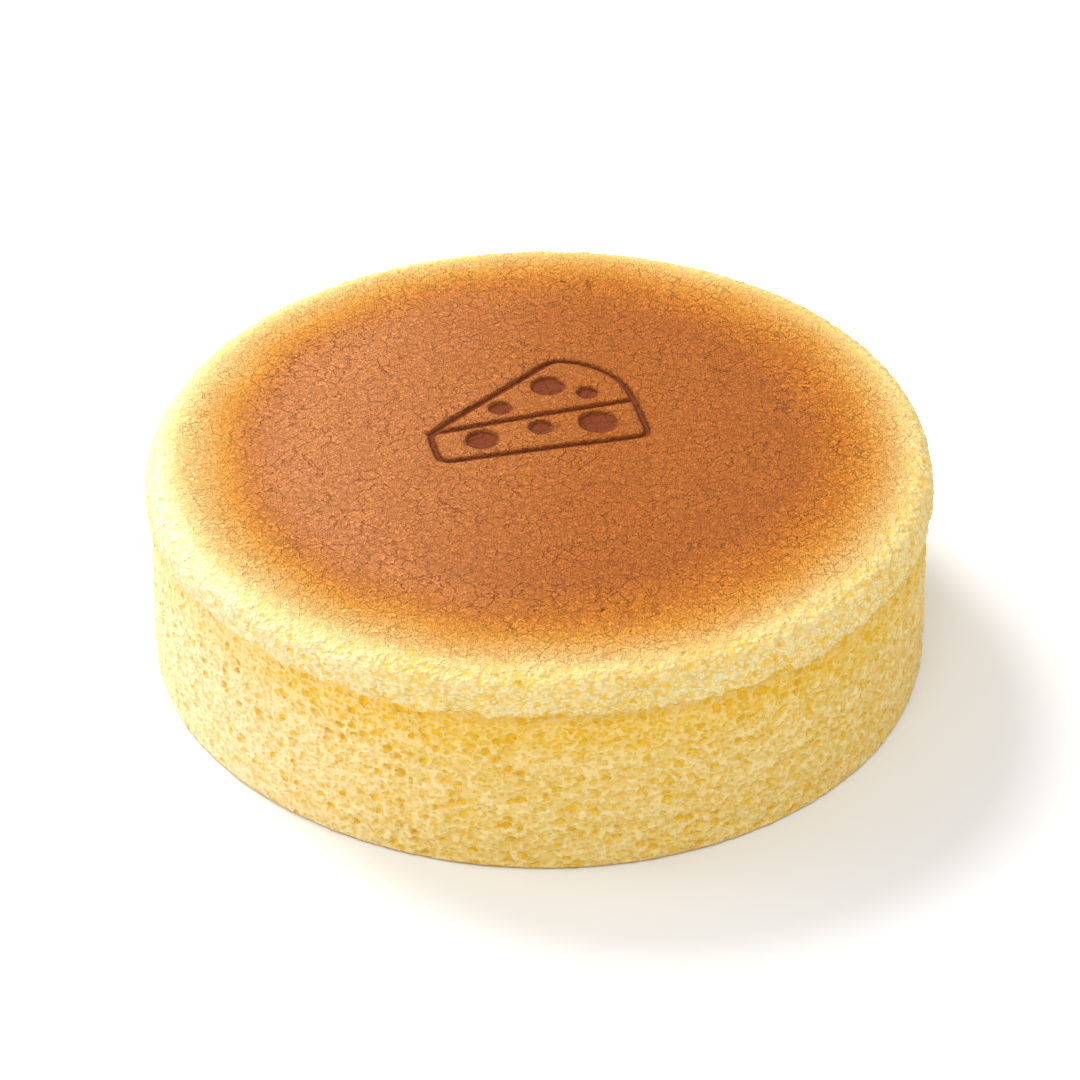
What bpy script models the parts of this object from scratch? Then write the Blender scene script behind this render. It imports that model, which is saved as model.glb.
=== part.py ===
"""A round souffle cheesecake, baked in a tin and turned out whole.

One solid sponge: a nearly flat browned top, a soft shoulder, a puffed lip that rose over the tin and
stands a little proud, a crease under it, an upright wall and a flat foot. A wedge of cheese is pressed
into the top with a hot iron. The origin is the middle of the foot, +Z is up and -Y is the front.
"""

import math

import bmesh
import bpy
from mathutils import Matrix, Vector

# Driving dimensions, in metres.
CAKE_DIAMETER = 0.180
CAKE_HEIGHT = 0.0525

DOME_RISE = 0.0010
SHOULDER_WIDTH = 0.0135
SHOULDER_DROP = 0.0100
SHOULDER_SQUARENESS = 3.4

LIP_HEIGHT = 0.0422
LIP_CURL = 0.0018
CREASE_HEIGHT = 0.0402
CREASE_DEPTH = 0.0021
WALL_INSET = 0.0013
WALL_BELLY = 0.0002
FOOT_FLARE = 0.0009
FOOT_ROUNDING = 0.0014

# How far the form strays from a true round, at most.
ROUNDNESS_SWAY = 0.0006
LIP_SWAY = 0.0011
TOP_SWAY = 0.00035

SIDES = 112
TOP_RINGS = 7
SHOULDER_RINGS = 8
WALL_RINGS = 5
FOOT_RINGS = 3

# The iron's mark: a wedge of cheese with round holes, tip to the left.
MARK_CENTRE = Vector((-0.0025, 0.0150))
MARK_TURN = math.radians(13)
MARK_WIDTH = 0.049
MARK_DEPTH = 0.036
LINE_RADIUS = 0.00070
LINE_SINK = 0.00012
HOLE_SINK = 0.00055
LINE_STEP = 0.0022
CORNER_RADIUS = 0.0028
LONGEST_CORNER = 0.0045
CORNER_STEPS = 4
TIP_SHARE = 0.33
HEEL_SHARE = 0.42
RIND_SHARE = 0.42
RIND_BULGE = 0.09
HOLE_SIDES = 20
HOLE_FOOT_SHARE = 0.82
PEG_LENGTH = 0.004

BLEND_IN = 0.006


def smooth_step(x):
    x = min(max(x, 0.0), 1.0)
    return x * x * (3 - 2 * x)


def sway(angle, waves):
    """A gentle wave round the cake, from -1 to 1. Each wave is (lobes, share, phase)."""
    return sum(share * math.sin(lobes * angle + phase) for lobes, share, phase in waves)


def round_sway(angle):
    return ROUNDNESS_SWAY * sway(angle, ((2, 0.15, 0.6), (3, 0.7, -math.pi / 2), (5, 0.15, 4.0)))


def lip_sway(angle):
    return LIP_SWAY * sway(angle, ((5, 0.5, 2.44), (8, 0.25, 0.6), (13, 0.25, 2.7)))


def top_sway(angle):
    return TOP_SWAY * sway(angle, ((1, 0.5, 2.4), (3, 0.3, 0.8), (6, 0.2, 5.1)))


def shoulder_start():
    """Where the top begins to round over: (radius, height)."""
    return CAKE_DIAMETER / 2 - SHOULDER_WIDTH, CAKE_HEIGHT - DOME_RISE


def top_height(radius, angle):
    """The height of the browned top at a place inside the shoulder."""
    edge, low = shoulder_start()
    share = min(radius / edge, 1.0)
    return low + DOME_RISE * (1 - share**2) + top_sway(angle) * smooth_step(share)


def profile():
    """(radius, height) down the outside, from the middle of the top to the edge of the foot."""
    edge, low = shoulder_start()
    widest = CAKE_DIAMETER / 2
    wall = widest - WALL_INSET
    foot = wall + FOOT_FLARE
    line = [(edge * i / TOP_RINGS, top_height(edge * i / TOP_RINGS, 0)) for i in range(TOP_RINGS)]

    power = 2 / SHOULDER_SQUARENESS
    for i in range(SHOULDER_RINGS + 1):
        turn = math.pi / 2 * i / SHOULDER_RINGS
        out = SHOULDER_WIDTH * math.sin(turn) ** power
        down = SHOULDER_DROP * (1 - math.cos(turn) ** power)
        line.append((edge + out, low - down))

    line.append((widest - 0.1 * LIP_CURL, (LIP_HEIGHT + CREASE_HEIGHT) / 2 + 0.15 * LIP_CURL))
    line.append((widest - 0.55 * LIP_CURL, CREASE_HEIGHT + 0.35 * LIP_CURL))
    line.append((widest - CREASE_DEPTH, CREASE_HEIGHT - 0.1 * LIP_CURL))
    line.append((wall - 0.2 * CREASE_DEPTH, CREASE_HEIGHT - 1.4 * LIP_CURL))

    top, bottom = CREASE_HEIGHT - 3.0 * LIP_CURL, FOOT_ROUNDING
    for i in range(WALL_RINGS):
        share = i / (WALL_RINGS - 1)
        radius = wall + (foot - wall) * share + WALL_BELLY * math.sin(math.pi * share)
        line.append((radius, top + (bottom - top) * share))

    for i in range(1, FOOT_RINGS + 1):
        turn = math.pi / 2 * i / FOOT_RINGS
        inward = FOOT_ROUNDING * (1 - math.cos(turn))
        line.append((foot - inward, FOOT_ROUNDING * (1 - math.sin(turn))))
    return line


def make_uneven(mesh):
    """Moves each vertex of the turned form off the true round, and leaves the foot flat."""
    edge, low = shoulder_start()
    for vertex in mesh.verts:
        radius = math.hypot(vertex.co.x, vertex.co.y)
        if radius < 1e-6:
            continue
        angle = math.atan2(vertex.co.y, vertex.co.x)
        height = vertex.co.z
        near_lip = max(0.0, 1 - abs(height - CREASE_HEIGHT) / BLEND_IN)
        on_top = smooth_step((height - LIP_HEIGHT) / (low - LIP_HEIGHT))
        share = smooth_step(min(radius / edge, 1.0))
        height += lip_sway(angle) * smooth_step(near_lip) + top_sway(angle) * on_top * share
        grown = 1 + round_sway(angle) / radius * smooth_step(radius / edge)
        vertex.co = Vector((vertex.co.x * grown, vertex.co.y * grown, height))


def centre_box(mesh):
    """Puts the middle of the form's box over the origin."""
    for axis in (0, 1):
        places = [vertex.co[axis] for vertex in mesh.verts]
        middle = (min(places) + max(places)) / 2
        for vertex in mesh.verts:
            vertex.co[axis] -= middle


def material(name, colour, roughness):
    made = bpy.data.materials.new(name)
    made.use_nodes = True
    shader = made.node_tree.nodes["Principled BSDF"]
    shader.inputs["Base Color"].default_value = (*colour, 1)
    shader.inputs["Roughness"].default_value = roughness
    shader.inputs["Metallic"].default_value = 0.0
    return made


def add_object(name, mesh):
    made = bpy.data.objects.new(name, mesh)
    bpy.context.scene.collection.objects.link(made)
    return made


def cake():
    """The sponge, turned from its profile and closed with a flat foot."""
    form = bmesh.new()
    line = [form.verts.new((radius, 0, height)) for radius, height in profile()]
    edges = [form.edges.new(pair) for pair in zip(line, line[1:])]
    bmesh.ops.spin(
        form, geom=line + edges, axis=(0, 0, 1), cent=(0, 0, 0), angle=2 * math.pi, steps=SIDES
    )
    bmesh.ops.remove_doubles(form, verts=form.verts, dist=1e-6)
    open_edges = [edge for edge in form.edges if edge.is_boundary]
    bmesh.ops.edgeloop_fill(form, edges=open_edges)
    make_uneven(form)
    centre_box(form)
    bmesh.ops.recalc_face_normals(form, faces=form.faces)
    mesh = bpy.data.meshes.new("cheesecake")
    form.to_mesh(mesh)
    form.free()
    mesh.shade_smooth()
    mesh.materials.append(material("pale_sponge", (0.86, 0.70, 0.33), 0.8))
    return add_object("cheesecake", mesh)


def on_top(point, sink):
    """A point of the mark's own drawing, put on the cake's top and lowered by sink."""
    spot = Matrix.Rotation(MARK_TURN, 2) @ Vector(point) + MARK_CENTRE
    height = top_height(spot.length, math.atan2(spot.y, spot.x))
    return Vector((spot.x, spot.y, height - sink))


def mark_corners():
    """The corners of the wedge: tip and heel, each at its top and foot, and the rind's far end."""
    half = MARK_WIDTH / 2
    low, high = -MARK_DEPTH / 2, MARK_DEPTH / 2
    return {
        "tip_top": Vector((-half, low + TIP_SHARE * MARK_DEPTH)),
        "tip_foot": Vector((-half, low)),
        "heel_foot": Vector((half, low)),
        "heel_top": Vector((half, low + HEEL_SHARE * MARK_DEPTH)),
        "rind_end": Vector((RIND_SHARE * half, high)),
    }


def arc_between(start, end, bulge):
    """Points from start to end on an arc that stands bulge away from the straight line."""
    chord = end - start
    side = Vector((-chord.y, chord.x)).normalized()
    radius = (chord.length**2 / 4 + bulge**2) / (2 * bulge)
    centre = (start + end) / 2 - side * (radius - bulge)
    first = (start - centre).angle_signed(end - centre)
    count = max(4, round(chord.length / LINE_STEP))
    turned = [Matrix.Rotation(-first * i / count, 2) @ (start - centre) for i in range(1, count)]
    return [centre + spoke for spoke in turned]


def rounded(before, corner, after):
    """Points on a soft curve that rounds one corner and leaves along both of its sides."""
    back, onward = (before - corner).normalized(), (after - corner).normalized()
    reach = min(CORNER_RADIUS / math.tan(back.angle(onward) / 2), LONGEST_CORNER)
    start, end = corner + back * reach, corner + onward * reach
    points = []
    for i in range(CORNER_STEPS + 1):
        t = i / CORNER_STEPS
        points.append(start.lerp(corner, t).lerp(corner.lerp(end, t), t))
    return points


def wedge_outline():
    """The closed outline of the wedge, with soft corners and a curved rind."""
    at = mark_corners()
    outline = rounded(at["heel_foot"], at["tip_foot"], at["tip_top"])
    outline += rounded(at["tip_foot"], at["tip_top"], at["rind_end"])
    rind = arc_between(at["rind_end"], at["heel_top"], RIND_BULGE * MARK_WIDTH)
    outline += rounded(at["tip_top"], at["rind_end"], rind[0])[:-1]
    outline += rind
    outline += rounded(rind[-1], at["heel_top"], at["heel_foot"])[1:]
    outline += rounded(at["heel_top"], at["heel_foot"], at["tip_foot"])
    return outline


def spaced(points, closed):
    """The same line with more points along its straight runs, so that it follows the top."""
    ends = points[1:] + points[:1] if closed else points[1:]
    filled = []
    for start, end in zip(points, ends):
        count = max(1, round((end - start).length / (2 * LINE_STEP)))
        filled += [start.lerp(end, i / count) for i in range(count)]
    return filled if closed else filled + [points[-1]]


def line_cutter(name, points, closed):
    """A round rod that lies along a line of the mark and cuts its groove."""
    curve = bpy.data.curves.new(name, "CURVE")
    curve.dimensions = "3D"
    curve.bevel_depth = LINE_RADIUS
    curve.bevel_resolution = 2
    curve.use_fill_caps = True
    places = [on_top(point, LINE_SINK) for point in spaced(points, closed)]
    spline = curve.splines.new("POLY")
    spline.points.add(len(places) - 1)
    for point, place in zip(spline.points, places):
        point.co = (*place, 1)
    spline.use_cyclic_u = closed
    drawn = bpy.data.objects.new(name, curve)
    mesh = bpy.data.meshes.new_from_object(drawn)
    bpy.data.objects.remove(drawn)
    return add_object(name, mesh)


def hole_cutter(name, middle, radius):
    """A short upright peg, a little narrower at its flat foot, which presses one hole of the cheese."""
    peg = bmesh.new()
    bmesh.ops.create_cone(
        peg,
        cap_ends=True,
        segments=HOLE_SIDES,
        radius1=HOLE_FOOT_SHARE * radius,
        radius2=radius,
        depth=PEG_LENGTH,
    )
    place = on_top(middle, HOLE_SINK) + Vector((0, 0, PEG_LENGTH / 2))
    bmesh.ops.translate(peg, verts=peg.verts, vec=place)
    mesh = bpy.data.meshes.new(name)
    peg.to_mesh(mesh)
    peg.free()
    return add_object(name, mesh)


def mark_holes():
    """(middle, radius) of each hole, as shares of the mark's size."""
    holes = (
        (-0.27, -0.31, 0.072),
        (0.02, -0.26, 0.052),
        (0.29, -0.28, 0.086),
        (0.13, 0.20, 0.076),
        (-0.13, 0.015, 0.050),
        (0.30, 0.07, 0.046),
    )
    return [(Vector((x * MARK_WIDTH, y * MARK_DEPTH)), r * MARK_WIDTH) for x, y, r in holes]


def press_mark(sponge):
    """Cuts the wedge's lines and holes into the top."""
    at = mark_corners()
    inside = LINE_RADIUS / 2
    front_edge = [at["tip_top"] + Vector((inside, 0)), at["heel_top"] - Vector((inside, 0))]
    cutters = [line_cutter("cut_outline", wedge_outline(), True)]
    cutters.append(line_cutter("cut_front_edge", front_edge, False))
    for number, (middle, radius) in enumerate(mark_holes(), 1):
        cutters.append(hole_cutter(f"cut_hole_{number}", middle, radius))
    for cutter in cutters:
        cutter.hide_render = True
        cutter.display_type = "WIRE"
        cut = sponge.modifiers.new(cutter.name, "BOOLEAN")
        cut.operation = "DIFFERENCE"
        cut.solver = "EXACT"
        cut.object = cutter


for left_over in list(bpy.data.objects):
    bpy.data.objects.remove(left_over)
press_mark(cake())
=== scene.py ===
"""A whole round souffle cheesecake, standing on a pale floor in soft studio light."""
import math

import bpy
from mathutils import Matrix, Vector


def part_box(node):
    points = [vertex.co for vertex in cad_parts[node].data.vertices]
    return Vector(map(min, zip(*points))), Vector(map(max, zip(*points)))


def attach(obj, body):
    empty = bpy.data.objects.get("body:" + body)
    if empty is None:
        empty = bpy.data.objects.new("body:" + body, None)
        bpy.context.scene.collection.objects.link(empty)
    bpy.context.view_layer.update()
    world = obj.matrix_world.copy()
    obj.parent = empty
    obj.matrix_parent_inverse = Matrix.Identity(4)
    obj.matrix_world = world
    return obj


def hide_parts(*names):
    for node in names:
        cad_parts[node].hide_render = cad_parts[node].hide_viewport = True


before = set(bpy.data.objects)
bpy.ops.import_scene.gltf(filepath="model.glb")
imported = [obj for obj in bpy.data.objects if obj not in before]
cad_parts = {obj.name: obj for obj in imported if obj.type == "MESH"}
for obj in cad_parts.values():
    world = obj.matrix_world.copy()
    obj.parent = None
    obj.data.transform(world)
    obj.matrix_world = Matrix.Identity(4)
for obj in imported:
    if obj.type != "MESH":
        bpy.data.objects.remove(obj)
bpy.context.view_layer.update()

bpy.ops.object.select_all(action="DESELECT")

# ---------------------------------------------------------------------------------------------
# The studio: a pale floor, a camera that looks down at the cake from the front, a weak soft lamp
# low on the left, a strong one high up behind on the left, one high in front and a white sky.
# ---------------------------------------------------------------------------------------------
MM = 0.001
CAMERA_DROP = math.radians(35.2)
CAMERA_DISTANCE = 1.0
LENS = 144.3
SENSOR = 36
AIM = Vector((0.2 * MM, 0, 24.8 * MM))
FLOOR_WIDTH = 6
FLOOR_GAP = 0.2 * MM
PALE = (0.88, 0.88, 0.88, 1)
COOL_WHITE = (0.97, 0.99, 1.0)
SKY_STRENGTH = 0.60

bpy.ops.mesh.primitive_plane_add(size=FLOOR_WIDTH, location=(0, 0, -FLOOR_GAP))
floor = bpy.context.object
floor.name = "floor"
paint = bpy.data.materials.new("pale_floor")
paint.use_nodes = True
paint.node_tree.nodes["Principled BSDF"].inputs["Base Color"].default_value = PALE
paint.node_tree.nodes["Principled BSDF"].inputs["Roughness"].default_value = 0.9
floor.data.materials.append(paint)

sight = Vector((0, math.cos(CAMERA_DROP), -math.sin(CAMERA_DROP)))
bpy.ops.object.camera_add(location=AIM - sight * CAMERA_DISTANCE)
camera = bpy.context.object
camera.rotation_euler = sight.to_track_quat("-Z", "Y").to_euler()
camera.data.lens = LENS
camera.data.sensor_width = SENSOR
camera.data.clip_start = 10 * MM
bpy.context.scene.camera = camera


def add_lamp(name, place, size, power, colour=(1, 1, 1)):
    """A round soft lamp of this size in metres and power in watts, turned to the cake."""
    bpy.ops.object.light_add(type="AREA", location=place)
    lamp = bpy.context.object
    lamp.name = name
    lamp.data.shape = "DISK"
    lamp.data.size = size
    lamp.data.energy = power
    lamp.data.color = colour
    lamp.rotation_euler = (AIM - Vector(place)).to_track_quat("-Z", "Y").to_euler()


add_lamp("window", (-0.90, 0.00, 0.32), 0.5, 2.8, COOL_WHITE)
add_lamp("high_window", (-0.55, 0.65, 0.95), 0.6, 15, (0.98, 0.99, 1.0))
add_lamp("ceiling", (0.15, -0.60, 1.15), 0.9, 5.8)
sky = bpy.data.worlds.new("sky")
sky.use_nodes = True
sky.node_tree.nodes["Background"].inputs["Color"].default_value = (1, 1, 1, 1)
sky.node_tree.nodes["Background"].inputs["Strength"].default_value = SKY_STRENGTH
bpy.context.scene.world = sky
bpy.context.scene.view_settings.view_transform = "Standard"

# ---------------------------------------------------------------------------------------------
# The sponge: one piece of whisked batter, baked in a lined tin. It is drawn up ring by ring from
# its foot, over the wall, the crease and the puffed lip to the flat top, and then set a little
# off the true round, as the tin and the oven leave it.
# ---------------------------------------------------------------------------------------------
cake_low, cake_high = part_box("cheesecake")
WIDEST = (cake_high.x - cake_low.x) / 2
TALLEST = cake_high.z
SIDES = 192
DOME_RISE = 1.0 * MM
SHOULDER_WIDTH = 13.5 * MM
SHOULDER_DROP = 10.0 * MM
SHOULDER_SQUARENESS = 3.4
LIP_HEIGHT = 42.2 * MM
LIP_CURL = 1.8 * MM
CREASE_HEIGHT = 40.2 * MM
CREASE_DEPTH = 2.1 * MM
WALL_INSET = 1.3 * MM
WALL_BELLY = 0.2 * MM
FOOT_FLARE = 0.9 * MM
FOOT_ROUNDING = 1.4 * MM
ROUNDNESS_SWAY = 0.6 * MM
LIP_SWAY = 1.1 * MM
TOP_SWAY = 0.35 * MM
BLEND_IN = 6.0 * MM
FOOT_STEPS = 4
WALL_STEPS = 8
SHOULDER_STEPS = 16
TOP_STEPS = 10
VOXEL = 0.5 * MM

top_edge, top_low = WIDEST - SHOULDER_WIDTH, TALLEST - DOME_RISE


def cake_rows():
    """(radius, height) of each ring, from the foot up to the middle of the top."""
    wall = WIDEST - WALL_INSET
    foot = wall + FOOT_FLARE
    rows = []
    for i in range(FOOT_STEPS + 1):
        turn = math.pi / 2 * i / FOOT_STEPS
        inward = FOOT_ROUNDING * (1 - math.sin(turn))
        rows.append((foot - inward, FOOT_ROUNDING * (1 - math.cos(turn))))
    wall_top = CREASE_HEIGHT - 3.0 * LIP_CURL
    for i in range(1, WALL_STEPS + 1):
        share = i / WALL_STEPS
        belly = WALL_BELLY * math.sin(math.pi * share)
        height = FOOT_ROUNDING + (wall_top - FOOT_ROUNDING) * share
        rows.append((foot + (wall - foot) * share + belly, height))
    rows.append((wall - 0.2 * CREASE_DEPTH, CREASE_HEIGHT - 1.4 * LIP_CURL))
    rows.append((WIDEST - CREASE_DEPTH, CREASE_HEIGHT - 0.1 * LIP_CURL))
    rows.append((WIDEST - 0.55 * LIP_CURL, CREASE_HEIGHT + 0.35 * LIP_CURL))
    rows.append((WIDEST - 0.1 * LIP_CURL, (LIP_HEIGHT + CREASE_HEIGHT) / 2 + 0.15 * LIP_CURL))
    power = 2 / SHOULDER_SQUARENESS
    for i in range(SHOULDER_STEPS, -1, -1):
        turn = math.pi / 2 * i / SHOULDER_STEPS
        out = SHOULDER_WIDTH * math.sin(turn) ** power
        down = SHOULDER_DROP * (1 - math.cos(turn) ** power)
        rows.append((top_edge + out, top_low - down))
    for i in range(TOP_STEPS - 1, 0, -1):
        share = i / TOP_STEPS
        rows.append((top_edge * i / TOP_STEPS, top_low + DOME_RISE * (1 - share**2)))
    return rows


def sway(angle, waves):
    """A gentle wave round the cake, from -1 to 1. Each wave is (lobes, share, phase)."""
    return sum(share * math.sin(lobes * angle + phase) for lobes, share, phase in waves)


def smooth_step(x):
    """From 0 to 1 as x goes from 0 to 1, with a soft start and end."""
    x = min(max(x, 0.0), 1.0)
    return x * x * (3 - 2 * x)


rows = cake_rows()
bpy.ops.mesh.primitive_circle_add(vertices=SIDES, radius=rows[0][0], fill_type="NGON", location=(0, 0, 0))
cake = bpy.context.object
cake.name = "souffle_cheesecake"
bpy.ops.object.mode_set(mode="EDIT")
bpy.ops.mesh.select_mode(type="FACE")
bpy.ops.mesh.select_all(action="SELECT")
for (radius, height), (next_radius, next_height) in zip(rows, rows[1:]):
    bpy.ops.mesh.extrude_region_move(TRANSFORM_OT_translate={"value": (0, 0, next_height - height)})
    grown = next_radius / radius
    bpy.ops.transform.resize(value=(grown, grown, 1), center_override=(0, 0, next_height))
bpy.ops.mesh.select_all(action="SELECT")
bpy.ops.mesh.normals_make_consistent(inside=False)
bpy.ops.object.mode_set(mode="OBJECT")

for vertex in cake.data.vertices:
    radius = math.hypot(vertex.co.x, vertex.co.y)
    angle = math.atan2(vertex.co.y, vertex.co.x)
    height = vertex.co.z
    near_lip = max(0.0, 1 - abs(height - CREASE_HEIGHT) / BLEND_IN)
    on_top = smooth_step((height - LIP_HEIGHT) / (top_low - LIP_HEIGHT))
    share = smooth_step(radius / top_edge)
    lip = LIP_SWAY * sway(angle, ((5, 0.5, 2.44), (8, 0.25, 0.6), (13, 0.25, 2.7)))
    top = TOP_SWAY * sway(angle, ((1, 0.5, 2.4), (3, 0.3, 0.8), (6, 0.2, 5.1)))
    out = ROUNDNESS_SWAY * sway(angle, ((2, 0.15, 0.6), (3, 0.7, -math.pi / 2), (5, 0.15, 4.0)))
    grown = 1 + out / radius * share
    vertex.co = (
        vertex.co.x * grown,
        vertex.co.y * grown,
        height + lip * smooth_step(near_lip) + top * on_top * share,
    )

# The box of the form is brought over the middle, as the CAD solid's is.
for axis in (0, 1):
    places = [vertex.co[axis] for vertex in cake.data.vertices]
    middle = (min(places) + max(places)) / 2
    for vertex in cake.data.vertices:
        vertex.co[axis] -= middle


def use_modifier(piece, name, kind, **settings):
    """Adds a modifier with these settings and applies it at once."""
    bpy.ops.object.select_all(action="DESELECT")
    piece.select_set(True)
    bpy.context.view_layer.objects.active = piece
    added = piece.modifiers.new(name, kind)
    for setting, value in settings.items():
        setattr(added, setting, value)
    bpy.ops.object.modifier_apply(modifier=name)


bpy.ops.object.select_all(action="DESELECT")
cake.select_set(True)
bpy.ops.object.duplicate()
smooth_form = bpy.context.object
smooth_form.name = "smooth_form"
use_modifier(cake, "even_faces", "REMESH", mode="VOXEL", voxel_size=VOXEL, use_smooth_shade=True)
use_modifier(cake, "true_form", "SHRINKWRAP", target=smooth_form)
bpy.data.objects.remove(smooth_form)

# ---------------------------------------------------------------------------------------------
# The mark: a wedge of cheese with round holes, pressed into the top with a hot iron, which
# leaves narrow grooves burned dark brown. Its lines are laid out flat as edges and discs, and
# the relief below sinks the skin along them.
# ---------------------------------------------------------------------------------------------
MARK_CENTRE = Vector((-2.5 * MM, 15.0 * MM))
MARK_TURN = math.radians(13)
MARK_WIDTH = 49 * MM
MARK_DEPTH = 36 * MM
CORNER_REACH = 3.2 * MM
CORNER_STEPS = 5
RIND_STEPS = 14
RIND_BULGE = 4.4 * MM
HOLE_SIDES = 24


def laid_flat(point):
    """A point of the mark, turned and moved to its place over the cake."""
    spot = Matrix.Rotation(MARK_TURN, 2) @ Vector(point) + MARK_CENTRE
    return (spot.x, spot.y, 0)


def rounded(before, corner, after):
    """Points that round one corner of the outline."""
    start = corner + (before - corner).normalized() * CORNER_REACH
    end = corner + (after - corner).normalized() * CORNER_REACH
    points = []
    for i in range(CORNER_STEPS + 1):
        t = i / CORNER_STEPS
        points.append(start.lerp(corner, t).lerp(corner.lerp(end, t), t))
    return points


def mark_lines():
    """The wedge's closed outline, with its curved rind, and the front edge of its cut face."""
    half = MARK_WIDTH / 2
    low, high = -MARK_DEPTH / 2, MARK_DEPTH / 2
    tip_top, tip_foot = Vector((-half, low + 0.33 * MARK_DEPTH)), Vector((-half, low))
    heel_foot, heel_top = Vector((half, low)), Vector((half, low + 0.42 * MARK_DEPTH))
    rind_end = Vector((0.42 * half, high))
    along = heel_top - rind_end
    outward = Vector((-along.y, along.x)).normalized()
    rind = []
    for i in range(1, RIND_STEPS):
        t = i / RIND_STEPS
        rind.append(rind_end + along * t + outward * RIND_BULGE * 4 * t * (1 - t))
    outline = rounded(heel_foot, tip_foot, tip_top) + rounded(tip_foot, tip_top, rind_end)
    outline += rounded(tip_top, rind_end, rind[2]) + rind[2:-2]
    outline += rounded(rind[-3], heel_top, heel_foot) + rounded(heel_top, heel_foot, tip_foot)
    return [outline + outline[:1], [tip_top, heel_top]]


def mark_holes():
    """(middle, radius) of each hole, as shares of the mark's size."""
    holes = (
        (-0.27, -0.31, 0.072),
        (0.02, -0.26, 0.052),
        (0.29, -0.28, 0.086),
        (0.13, 0.20, 0.076),
        (-0.13, 0.015, 0.050),
        (0.30, 0.07, 0.046),
    )
    return [(Vector((x * MARK_WIDTH, y * MARK_DEPTH)), r * MARK_WIDTH) for x, y, r in holes]


def add_guide(name, points, edges, faces):
    """A flat helper that the relief measures its distance from. It is removed afterwards."""
    mesh = bpy.data.meshes.new(name)
    mesh.from_pydata(points, edges, faces)
    guide = bpy.data.objects.new(name, mesh)
    bpy.context.scene.collection.objects.link(guide)
    return guide


points, edges = [], []
for line in mark_lines():
    edges += [(len(points) + i, len(points) + i + 1) for i in range(len(line) - 1)]
    points += [laid_flat(point) for point in line]
lines = add_guide("mark_lines", points, edges, [])

points, faces = [], []
for middle, radius in mark_holes():
    faces.append(tuple(range(len(points), len(points) + HOLE_SIDES)))
    for i in range(HOLE_SIDES):
        turn = 2 * math.pi * i / HOLE_SIDES
        points.append(laid_flat(middle + radius * Vector((math.cos(turn), math.sin(turn)))))
holes = add_guide("mark_holes", points, [], faces)

# ---------------------------------------------------------------------------------------------
# The relief: creases in the baked skin, torn crumb on the lip, a smoother fold under it and the
# open pores of the wall, left by the bubbles. All of it sinks into the form, which keeps its size.
# ---------------------------------------------------------------------------------------------


class Field:
    """A number that changes over the cake. Arithmetic on fields adds the nodes that work it out."""

    def __init__(self, tree, socket):
        self.tree = tree
        self.socket = socket

    def joined(self, operation, *others):
        made = self.tree.nodes.new("ShaderNodeMath")
        made.operation = operation
        feed(self.tree, made.inputs[0], self)
        for slot, other in zip(made.inputs[1:], others):
            feed(self.tree, slot, other)
        return Field(self.tree, made.outputs[0])

    def __add__(self, other):
        return self.joined("ADD", other)

    __radd__ = __add__

    def __mul__(self, other):
        return self.joined("MULTIPLY", other)

    __rmul__ = __mul__

    def __sub__(self, other):
        return self.joined("SUBTRACT", other)

    def __rsub__(self, other):
        return self * -1 + other

    def __pow__(self, other):
        return self.joined("POWER", other)

    def ramp(self, start, end, low=0.0, high=1.0):
        """Rises smoothly from low to high as this field goes from start to end."""
        made = self.tree.nodes.new("ShaderNodeMapRange")
        made.interpolation_type = "SMOOTHSTEP"
        feed(self.tree, made.inputs["Value"], self)
        feed(self.tree, made.inputs["From Min"], start)
        feed(self.tree, made.inputs["From Max"], end)
        feed(self.tree, made.inputs["To Min"], low)
        feed(self.tree, made.inputs["To Max"], high)
        return Field(self.tree, made.outputs["Result"])

    def most(self, other):
        return self.joined("MAXIMUM", other)

    def least(self, other):
        return self.joined("MINIMUM", other)


def feed(tree, slot, value):
    """Links a field to the slot, or sets the slot to a plain value."""
    if isinstance(value, Field):
        tree.links.new(value.socket, slot)
    else:
        slot.default_value = value


def parts_of(tree, vector):
    """The three numbers that a vector field is made of."""
    made = tree.nodes.new("ShaderNodeSeparateXYZ")
    feed(tree, made.inputs[0], vector)
    return [Field(tree, made.outputs[i]) for i in range(3)]


def vector_of(tree, x, y, z):
    made = tree.nodes.new("ShaderNodeCombineXYZ")
    for slot, value in zip(made.inputs, (x, y, z)):
        feed(tree, slot, value)
    return Field(tree, made.outputs[0])


def noise(tree, place, size, detail=2.0, rough=0.5, warp=0.0, output="Fac"):
    """Cloudy noise with lumps about this size in metres, from 0 to 1."""
    made = tree.nodes.new("ShaderNodeTexNoise")
    feed(tree, made.inputs["Vector"], place)
    made.inputs["Scale"].default_value = 1 / size
    made.inputs["Detail"].default_value = detail
    made.inputs["Roughness"].default_value = rough
    made.inputs["Distortion"].default_value = warp
    return Field(tree, made.outputs[output])


def foam(tree, place, size):
    """Bubbles about this size in metres: (how far from the bubble's middle, the bubble's own number)."""
    made = tree.nodes.new("ShaderNodeTexVoronoi")
    feed(tree, made.inputs["Vector"], place)
    made.inputs["Scale"].default_value = 1 / size
    return Field(tree, made.outputs["Distance"]), parts_of(tree, Field(tree, made.outputs["Color"]))[0]


def cell_edges(tree, place, size):
    """How far from the nearest edge of a net of cells about this size in metres."""
    made = tree.nodes.new("ShaderNodeTexVoronoi")
    made.feature = "DISTANCE_TO_EDGE"
    feed(tree, made.inputs["Vector"], place)
    made.inputs["Scale"].default_value = 1 / size
    return Field(tree, made.outputs["Distance"])


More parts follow.
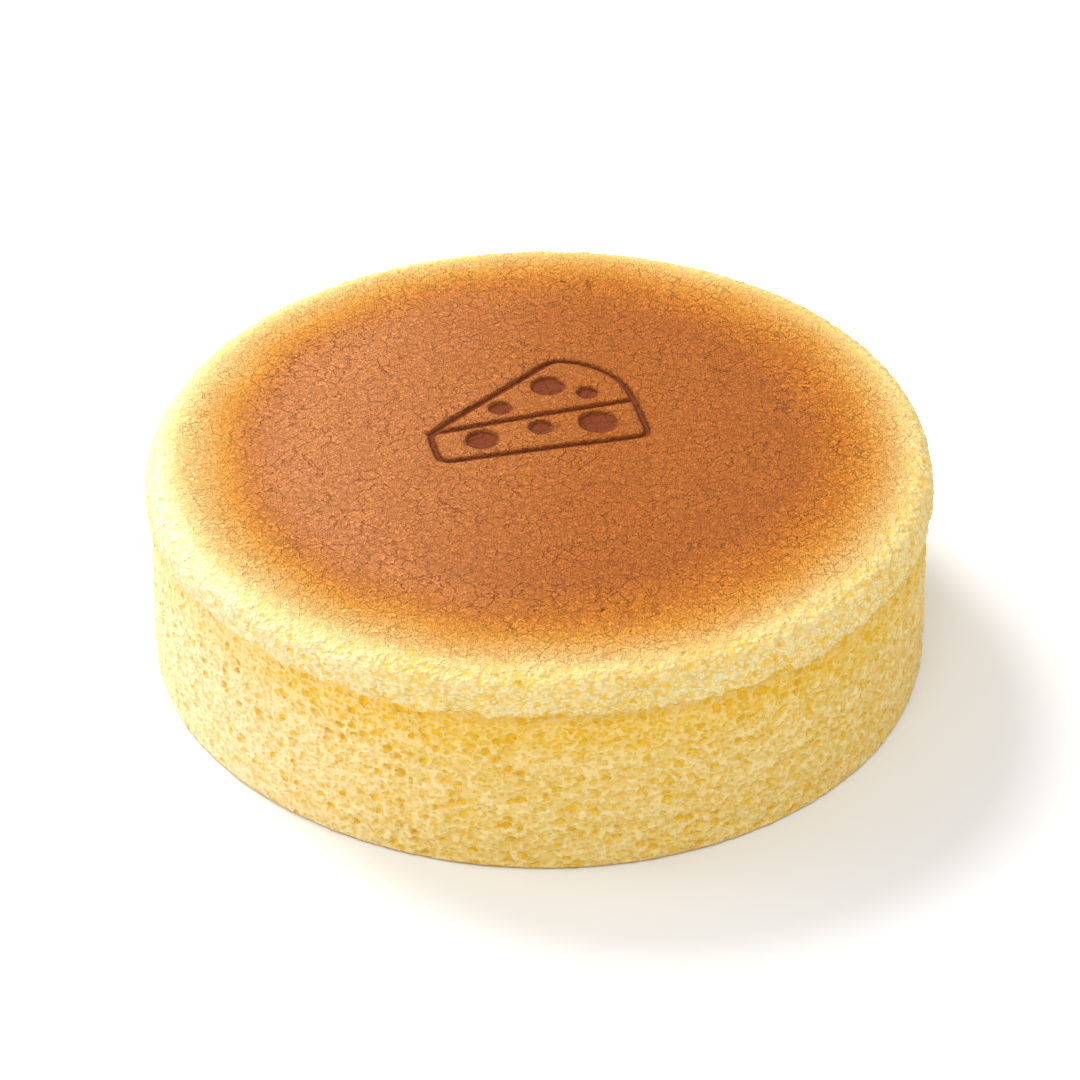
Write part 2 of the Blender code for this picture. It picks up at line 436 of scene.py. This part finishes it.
def wandering(tree, place, size, reach):
    """The same places, pushed about by cloudy noise, so that patterns on them lose their regular look."""
    push = noise(tree, place, size, 2.0, 0.6, output="Color")
    made = tree.nodes.new("ShaderNodeVectorMath")
    made.operation = "MULTIPLY_ADD"
    feed(tree, made.inputs[0], push)
    made.inputs[1].default_value = (2 * reach,) * 3
    feed(tree, made.inputs[2], place)
    return Field(tree, made.outputs[0])


# How wide one pore, pit, lump of crumb, wrinkle and cell of cracked skin is, and how far and how
# finely all of them are pushed about. Baking leaves them a little wider than tall.
PORE_SIZE = 2.1 * MM
PIT_SIZE = 0.86 * MM
CRUMB_SIZE = 1.7 * MM
GRAIN_SIZE = 0.60 * MM
CRACK_SIZE = 2.6 * MM
DRIFT_SIZE = 1.5 * MM
DRIFT = 0.5 * MM
SQUEEZED = 0.8


def crumb_pattern(tree, place):
    """(pores, pits, beads, crumb, creases, grain, pinholes) of crumb and skin, each from 0 to 1."""
    x, y, z = parts_of(tree, place)
    loose = wandering(tree, vector_of(tree, x * SQUEEZED, y * SQUEEZED, z), DRIFT_SIZE, DRIFT)
    from_large, large = foam(tree, loose, PORE_SIZE)
    from_small, small = foam(tree, loose, PIT_SIZE)
    pores = from_large.ramp(0.52, 0.22) * large.ramp(0.48, 0.72)
    pits = from_small.ramp(0.60, 0.26) * small.ramp(0.12, 0.55)
    beads = from_small.ramp(0.75, 0.15)
    crumb = noise(tree, loose, CRUMB_SIZE, 2.0, 0.6)
    grain = noise(tree, loose, GRAIN_SIZE, 1.0, 0.6, 1.1).ramp(0.32, 0.68)
    creases = cell_edges(tree, loose, CRACK_SIZE).ramp(0.075, 0.0) * grain.ramp(0.85, 0.15)
    pinholes = from_large.ramp(0.13, 0.05) * large.ramp(0.58, 0.64)
    return pores, pits, beads, crumb, creases, grain, pinholes


CRUST_CENTRE = (2.1 * MM, 1.4 * MM)
CRUST_DEPTHWISE = 0.972
CRUST_RAGGED = 7 * MM
SKIN_EDGE, SKIN_FULL = 88.0 * MM, 79.0 * MM
WALL_TOP, CREASE_TOP, LIP_FOOT = 35.5 * MM, 38.6 * MM, 40.4 * MM
PORE_DEPTH = 0.60 * MM
LUMP_DEPTH = 0.60 * MM
CRAG_DEPTH = 0.50 * MM
WAVE_DEPTH = 0.50 * MM
FOLD_DEPTH = 0.50 * MM
HOLLOW_DEPTH = 0.30 * MM
LIP_HOLLOW_DEPTH = 0.35 * MM
CRACK_DEPTH = 0.10 * MM
GROOVE_DEPTH = 0.85 * MM
HOLE_MARGIN = 0.45 * MM
HANG = 4.0 * MM

relief = bpy.data.node_groups.new("cake_relief", "GeometryNodeTree")
relief.interface.new_socket("Geometry", in_out="INPUT", socket_type="NodeSocketGeometry")
relief.interface.new_socket("Geometry", in_out="OUTPUT", socket_type="NodeSocketGeometry")
incoming = relief.nodes.new("NodeGroupInput")
outgoing = relief.nodes.new("NodeGroupOutput")
place = Field(relief, relief.nodes.new("GeometryNodeInputPosition").outputs[0])
normal = Field(relief, relief.nodes.new("GeometryNodeInputNormal").outputs[0])
x, y, z = parts_of(relief, place)
radius = (x * x + y * y) ** 0.5

# Where the wall, the lip and the browned skin are. What is left between wall and lip is the crease.
over_crease = z.ramp(CREASE_TOP, LIP_FOOT)
skin = radius.ramp(SKIN_EDGE, SKIN_FULL) * z.ramp(30 * MM, 40 * MM)
lip = over_crease * (1 - skin)
wall = z.ramp(CREASE_TOP, WALL_TOP)
crease = (1 - over_crease - wall).most(0.0)
off_foot = z.ramp(0.05 * MM, 1.2 * MM)

pores, _, _, crumb, creases, _, _ = crumb_pattern(relief, place)
lumps = noise(relief, place, 4.0 * MM, 3.0, 0.6)
crowd = noise(relief, place, 13 * MM, 1.0).ramp(0.35, 0.62, 0.45, 1.0)
waves = noise(relief, place, 26 * MM, 1.0)
folds = noise(relief, vector_of(relief, x * 0.4, y * 0.4, z), 2.6 * MM, 2.0)
crags = noise(relief, vector_of(relief, x * 0.7, y * 0.7, z), 2.2 * MM, 3.0, 0.6)

hollow = crumb.ramp(0.62, 0.38)
near_edge = z.ramp(49 * MM, 45 * MM, 0.15, 1.0)
wall_depth = pores * crowd * PORE_DEPTH + hollow * HOLLOW_DEPTH + lumps.ramp(0.68, 0.32) * LUMP_DEPTH
lip_depth = hollow * LIP_HOLLOW_DEPTH + pores * (0.15 * MM)
lip_depth = lip_depth + crags.ramp(0.68, 0.32) * near_edge * CRAG_DEPTH
skin_depth = waves * WAVE_DEPTH + creases * CRACK_DEPTH
crease_depth = folds * FOLD_DEPTH + pores * (0.35 * MM)
depth = wall_depth * wall * off_foot + lip_depth * lip + skin_depth * skin + crease_depth * crease
sunk = (depth - waves * skin * WAVE_DEPTH) * (1 / MM)

flat = vector_of(relief, x, y, 0.0)


def distance_to(guide, element):
    """How far each place, seen from above, is from the guide's edges or faces."""
    info = relief.nodes.new("GeometryNodeObjectInfo")
    info.inputs["Object"].default_value = guide
    near = relief.nodes.new("GeometryNodeProximity")
    near.target_element = element
    relief.links.new(info.outputs["Geometry"], near.inputs[0])
    feed(relief, near.inputs["Sample Position"], flat)
    return Field(relief, near.outputs["Distance"])


# How far from the iron's lines, and from inside its holes, on the top only.
to_mark = distance_to(lines, "EDGES").least(distance_to(holes, "FACES") + HOLE_MARGIN)
to_mark = to_mark + z.ramp(40 * MM, 35 * MM) * (10 * MM)
wobble = (noise(relief, place, 2.4 * MM, 1.0) - 0.5) * (0.3 * MM)
depth = depth + (to_mark + wobble).ramp(1.10 * MM, 0.35 * MM) * GROOVE_DEPTH

# How far baked: the distance from the middle of the crust, with a ragged edge.
off_x, off_y = x - CRUST_CENTRE[0], y - CRUST_CENTRE[1]
ragged = (noise(relief, place, 24 * MM, 3.0) - 0.5) * CRUST_RAGGED
baked = (off_x * off_x + off_y * off_y * CRUST_DEPTHWISE**2) ** 0.5 + ragged
mottle = noise(relief, place, 9 * MM, 4.0, 0.62)

sink = relief.nodes.new("ShaderNodeVectorMath")
sink.operation = "SCALE"
feed(relief, sink.inputs[0], normal)
feed(relief, sink.inputs["Scale"], depth * -1)

# The lip's lower edge hangs down a little more here and a little less there.
near_crease = z.ramp(33 * MM, 39 * MM) * z.ramp(46 * MM, 41 * MM)
hang = (noise(relief, flat, 6 * MM, 3.0, 0.6) - 0.5) * HANG * near_crease
offset = relief.nodes.new("ShaderNodeVectorMath")
offset.operation = "ADD"
feed(relief, offset.inputs[0], Field(relief, sink.outputs[0]))
feed(relief, offset.inputs[1], vector_of(relief, 0.0, 0.0, hang))

# The unsunk place, how far it is sunk (in millimetres), which part it is on and how it is browned
# stay on the mesh for the material.
geometry = incoming.outputs[0]
for name, field in (
    ("unsunk", place),
    ("surface", vector_of(relief, sunk, lip, skin)),
    ("browning", vector_of(relief, baked, mottle, to_mark)),
):
    kept = relief.nodes.new("GeometryNodeStoreNamedAttribute")
    kept.data_type = "FLOAT_VECTOR"
    kept.domain = "POINT"
    kept.inputs["Name"].default_value = name
    relief.links.new(geometry, kept.inputs["Geometry"])
    feed(relief, kept.inputs["Value"], field)
    geometry = kept.outputs["Geometry"]
moved = relief.nodes.new("GeometryNodeSetPosition")
relief.links.new(geometry, moved.inputs["Geometry"])
relief.links.new(offset.outputs[0], moved.inputs["Offset"])
relief.links.new(moved.outputs["Geometry"], outgoing.inputs[0])
use_modifier(cake, "relief", "NODES", node_group=relief)
for guide in (lines, holes):
    bpy.data.objects.remove(guide)

TRIANGLES = 192_000
faces_now = sum(len(face.vertices) - 2 for face in cake.data.polygons)
use_modifier(cake, "thinned", "DECIMATE", ratio=TRIANGLES / faces_now)
cake.data.shade_smooth()

# ---------------------------------------------------------------------------------------------
# The crust and crumb: the skin is toasted brown, turns golden at its edge and pale on the lip,
# and the open crumb is creamy on its ridges, with deep egg yellow painted shade inside its pores.
# ---------------------------------------------------------------------------------------------
sponge = bpy.data.materials.new("baked_sponge")
sponge.use_nodes = True
finish = sponge.node_tree
shader = finish.nodes["Principled BSDF"]


def kept_on_mesh(name):
    """The three numbers that the relief left on the mesh under this name."""
    made = finish.nodes.new("ShaderNodeAttribute")
    made.attribute_name = name
    return Field(finish, made.outputs["Vector"])


def colour_ramp(field, stops):
    """The colour between the stops, each (share, colour), at this field from 0 to 1."""
    made = finish.nodes.new("ShaderNodeValToRGB")
    feed(finish, made.inputs["Fac"], field)
    ramp = made.color_ramp
    while len(ramp.elements) < len(stops):
        ramp.elements.new(0.5)
    for element, (share, colour) in zip(ramp.elements, stops):
        element.position = share
        element.color = (*colour, 1)
    return Field(finish, made.outputs["Color"])


def blended(share, first, second):
    """From the first colour to the second as share goes from 0 to 1."""
    made = finish.nodes.new("ShaderNodeMix")
    made.data_type = "RGBA"
    feed(finish, made.inputs["Factor"], share)
    feed(finish, made.inputs[6], first if isinstance(first, Field) else (*first, 1))
    feed(finish, made.inputs[7], second if isinstance(second, Field) else (*second, 1))
    return Field(finish, made.outputs[2])


TOASTED = (0.50, 0.142, 0.018)
PALE_TOASTED_AND_LIT = (0.66, 0.25, 0.080)
DARK_TOASTED = (0.24, 0.050, 0.004)
DARK_GOLDEN = (0.64, 0.235, 0.018)
GOLDEN = (0.75, 0.31, 0.042)
LIT_SIDE_CREAM = (0.93, 0.77, 0.47)
CRUMB = (0.83, 0.59, 0.18)
CRUMB_RIDGE = (0.90, 0.71, 0.31)
LIP = (0.92, 0.71, 0.26)
LIP_RIDGE = (0.96, 0.80, 0.40)
PORE = (0.88, 0.51, 0.020)
BURNED = (0.15, 0.025, 0.003)
AMBER = (0.67, 0.215, 0.018)
STRAW = (0.80, 0.45, 0.13)
PALE_STRAW = (0.87, 0.64, 0.26)
CRUST_REACH = 100 * MM
CRUST_SPECKLE = 1.5 * MM
HALO_OUT, HALO_IN = 2.0 * MM, 0.8 * MM
SCORCH_OUT, SCORCH_IN = 0.78 * MM, 0.42 * MM
GROOVE_OUT, GROOVE_IN = 1.05 * MM, 0.35 * MM
BUMP_HEIGHT = 0.35 * MM

# What the relief left on the mesh, and the same crumb pattern as there, read at every point.
place = kept_on_mesh("unsunk")
sunk, lip, skin = parts_of(finish, kept_on_mesh("surface"))
baked, mottle, to_mark = parts_of(finish, kept_on_mesh("browning"))
across, _, height_up = parts_of(finish, place)
above = height_up.ramp(36 * MM, 42 * MM)
pores, pits, beads, crumb, creases, grain, pinholes = crumb_pattern(finish, place)

# The crust's colours lie in rings round its middle. It is paler on the left, partly as painted light, and
# flecked all over.
crust = colour_ramp(
    (baked + (grain - 0.5) * CRUST_SPECKLE) * (1 / CRUST_REACH),
    (
        (0.56, TOASTED),
        (0.67, AMBER),
        (0.735, GOLDEN),
        (0.785, STRAW),
        (0.84, PALE_STRAW),
    ),
)
# Paler on the left: partly less browning, partly painted light and sheen from the lamps on that side.
less_baked_and_lit_left = across.ramp(20 * MM, -65 * MM) * baked.ramp(75 * MM, 60 * MM)
crust = blended(less_baked_and_lit_left, crust, PALE_TOASTED_AND_LIT)
patchy = mottle.ramp(0.40, 0.60)
# The skin is darker along its cracks, in its pinholes and in patches; the darker valleys of its grain are
# painted shade.
dark = creases * (patchy * 0.40 + 0.15) + (1 - grain) * 0.30 + pinholes * 0.8 + mottle.ramp(0.60, 0.36) * 0.10
dark_crust = blended(baked.ramp(66 * MM, 78 * MM), DARK_TOASTED, DARK_GOLDEN)
crust = blended(dark.least(1.0) * skin, crust, dark_crust)

# The crumb is pale on its ridges, deep yellow in its pores as painted shade, and creamier on the left as
# painted light.
# Paler bead tops and deeper yellow where the relief is sunk: painted light and shade.
uneven = crumb * (1 - lip * 0.3) + beads * lip * 0.42 + (mottle - 0.5) * 0.4 - sunk * 0.10
ridge = uneven.ramp(0.34, 0.62)
open_crumb = blended(ridge, blended(lip, CRUMB, LIP), blended(lip, CRUMB_RIDGE, LIP_RIDGE))
# Painted light: the crumb turns creamier towards the left, where the lamps light it most.
open_crumb = blended(across.ramp(-10 * MM, -80 * MM) * 0.8, open_crumb, LIT_SIDE_CREAM)
# Painted shade: a band of deep yellow in the crease under the lip.
shade_under_lip = height_up.ramp(25 * MM, 37 * MM) * height_up.ramp(43 * MM, 40 * MM)
# The deep yellow in the pits, pores and hollows is painted shade, warm as light scattered in the crumb.
wall_deep = pits**0.5 * 0.66 + pores**0.5 * 0.60 + uneven.ramp(0.40, 0.20) * 0.25
lip_deep = ((1 - beads) * 0.65 + 0.35) * uneven.ramp(0.50, 0.28) * 0.62 + pores * 0.40
deep = wall_deep * (1 - lip - skin).most(0.0) + lip_deep * lip + shade_under_lip * 0.42
# Painted light: less of the deep yellow on the brightly lit left.
deep = deep * across.ramp(-88 * MM, -35 * MM, 0.6, 1.0)
base = blended(above * baked.ramp(90 * MM, 84 * MM), open_crumb, crust)
base = blended(deep.least(1.0), base, PORE)
# The iron leaves a burned line with a faint brown halo.
groove = to_mark.ramp(GROOVE_OUT, GROOVE_IN)
base = blended(to_mark.ramp(HALO_OUT, HALO_IN) * 0.30, base, DARK_TOASTED)
base = blended(to_mark.ramp(SCORCH_OUT, SCORCH_IN) * 0.92, base, BURNED)
finish.links.new(base.socket, shader.inputs["Base Color"])
finish.links.new((skin * 0.30 + 0.55).socket, shader.inputs["Roughness"])
shader.inputs["Specular IOR Level"].default_value = 0.22

# What is finer than the mesh: grain and cracks in the skin, pores in the wall, crumbs on the lip.
skin_height = grain * (1 - groove * 0.8) * 1.05 - creases * (patchy * 0.50 + 0.30) - pinholes * 0.7
skin_height = skin_height - groove * 2.6
wall_height = crumb * 0.9 - pits * 0.50 - pores * 0.70 + grain * 0.10
lip_height = beads * 0.65 + crumb * 1.7 - pores * 0.40 + grain * 0.15
height = skin_height * skin + lip_height * lip + wall_height * (1 - skin - lip)
bump = finish.nodes.new("ShaderNodeBump")
bump.inputs["Distance"].default_value = BUMP_HEIGHT
bump.inputs["Strength"].default_value = 1.0
feed(finish, bump.inputs["Height"], height)
finish.links.new(bump.outputs["Normal"], shader.inputs["Normal"])

cake.data.materials.clear()
cake.data.materials.append(sponge)
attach(cake, "root")
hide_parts("cheesecake")
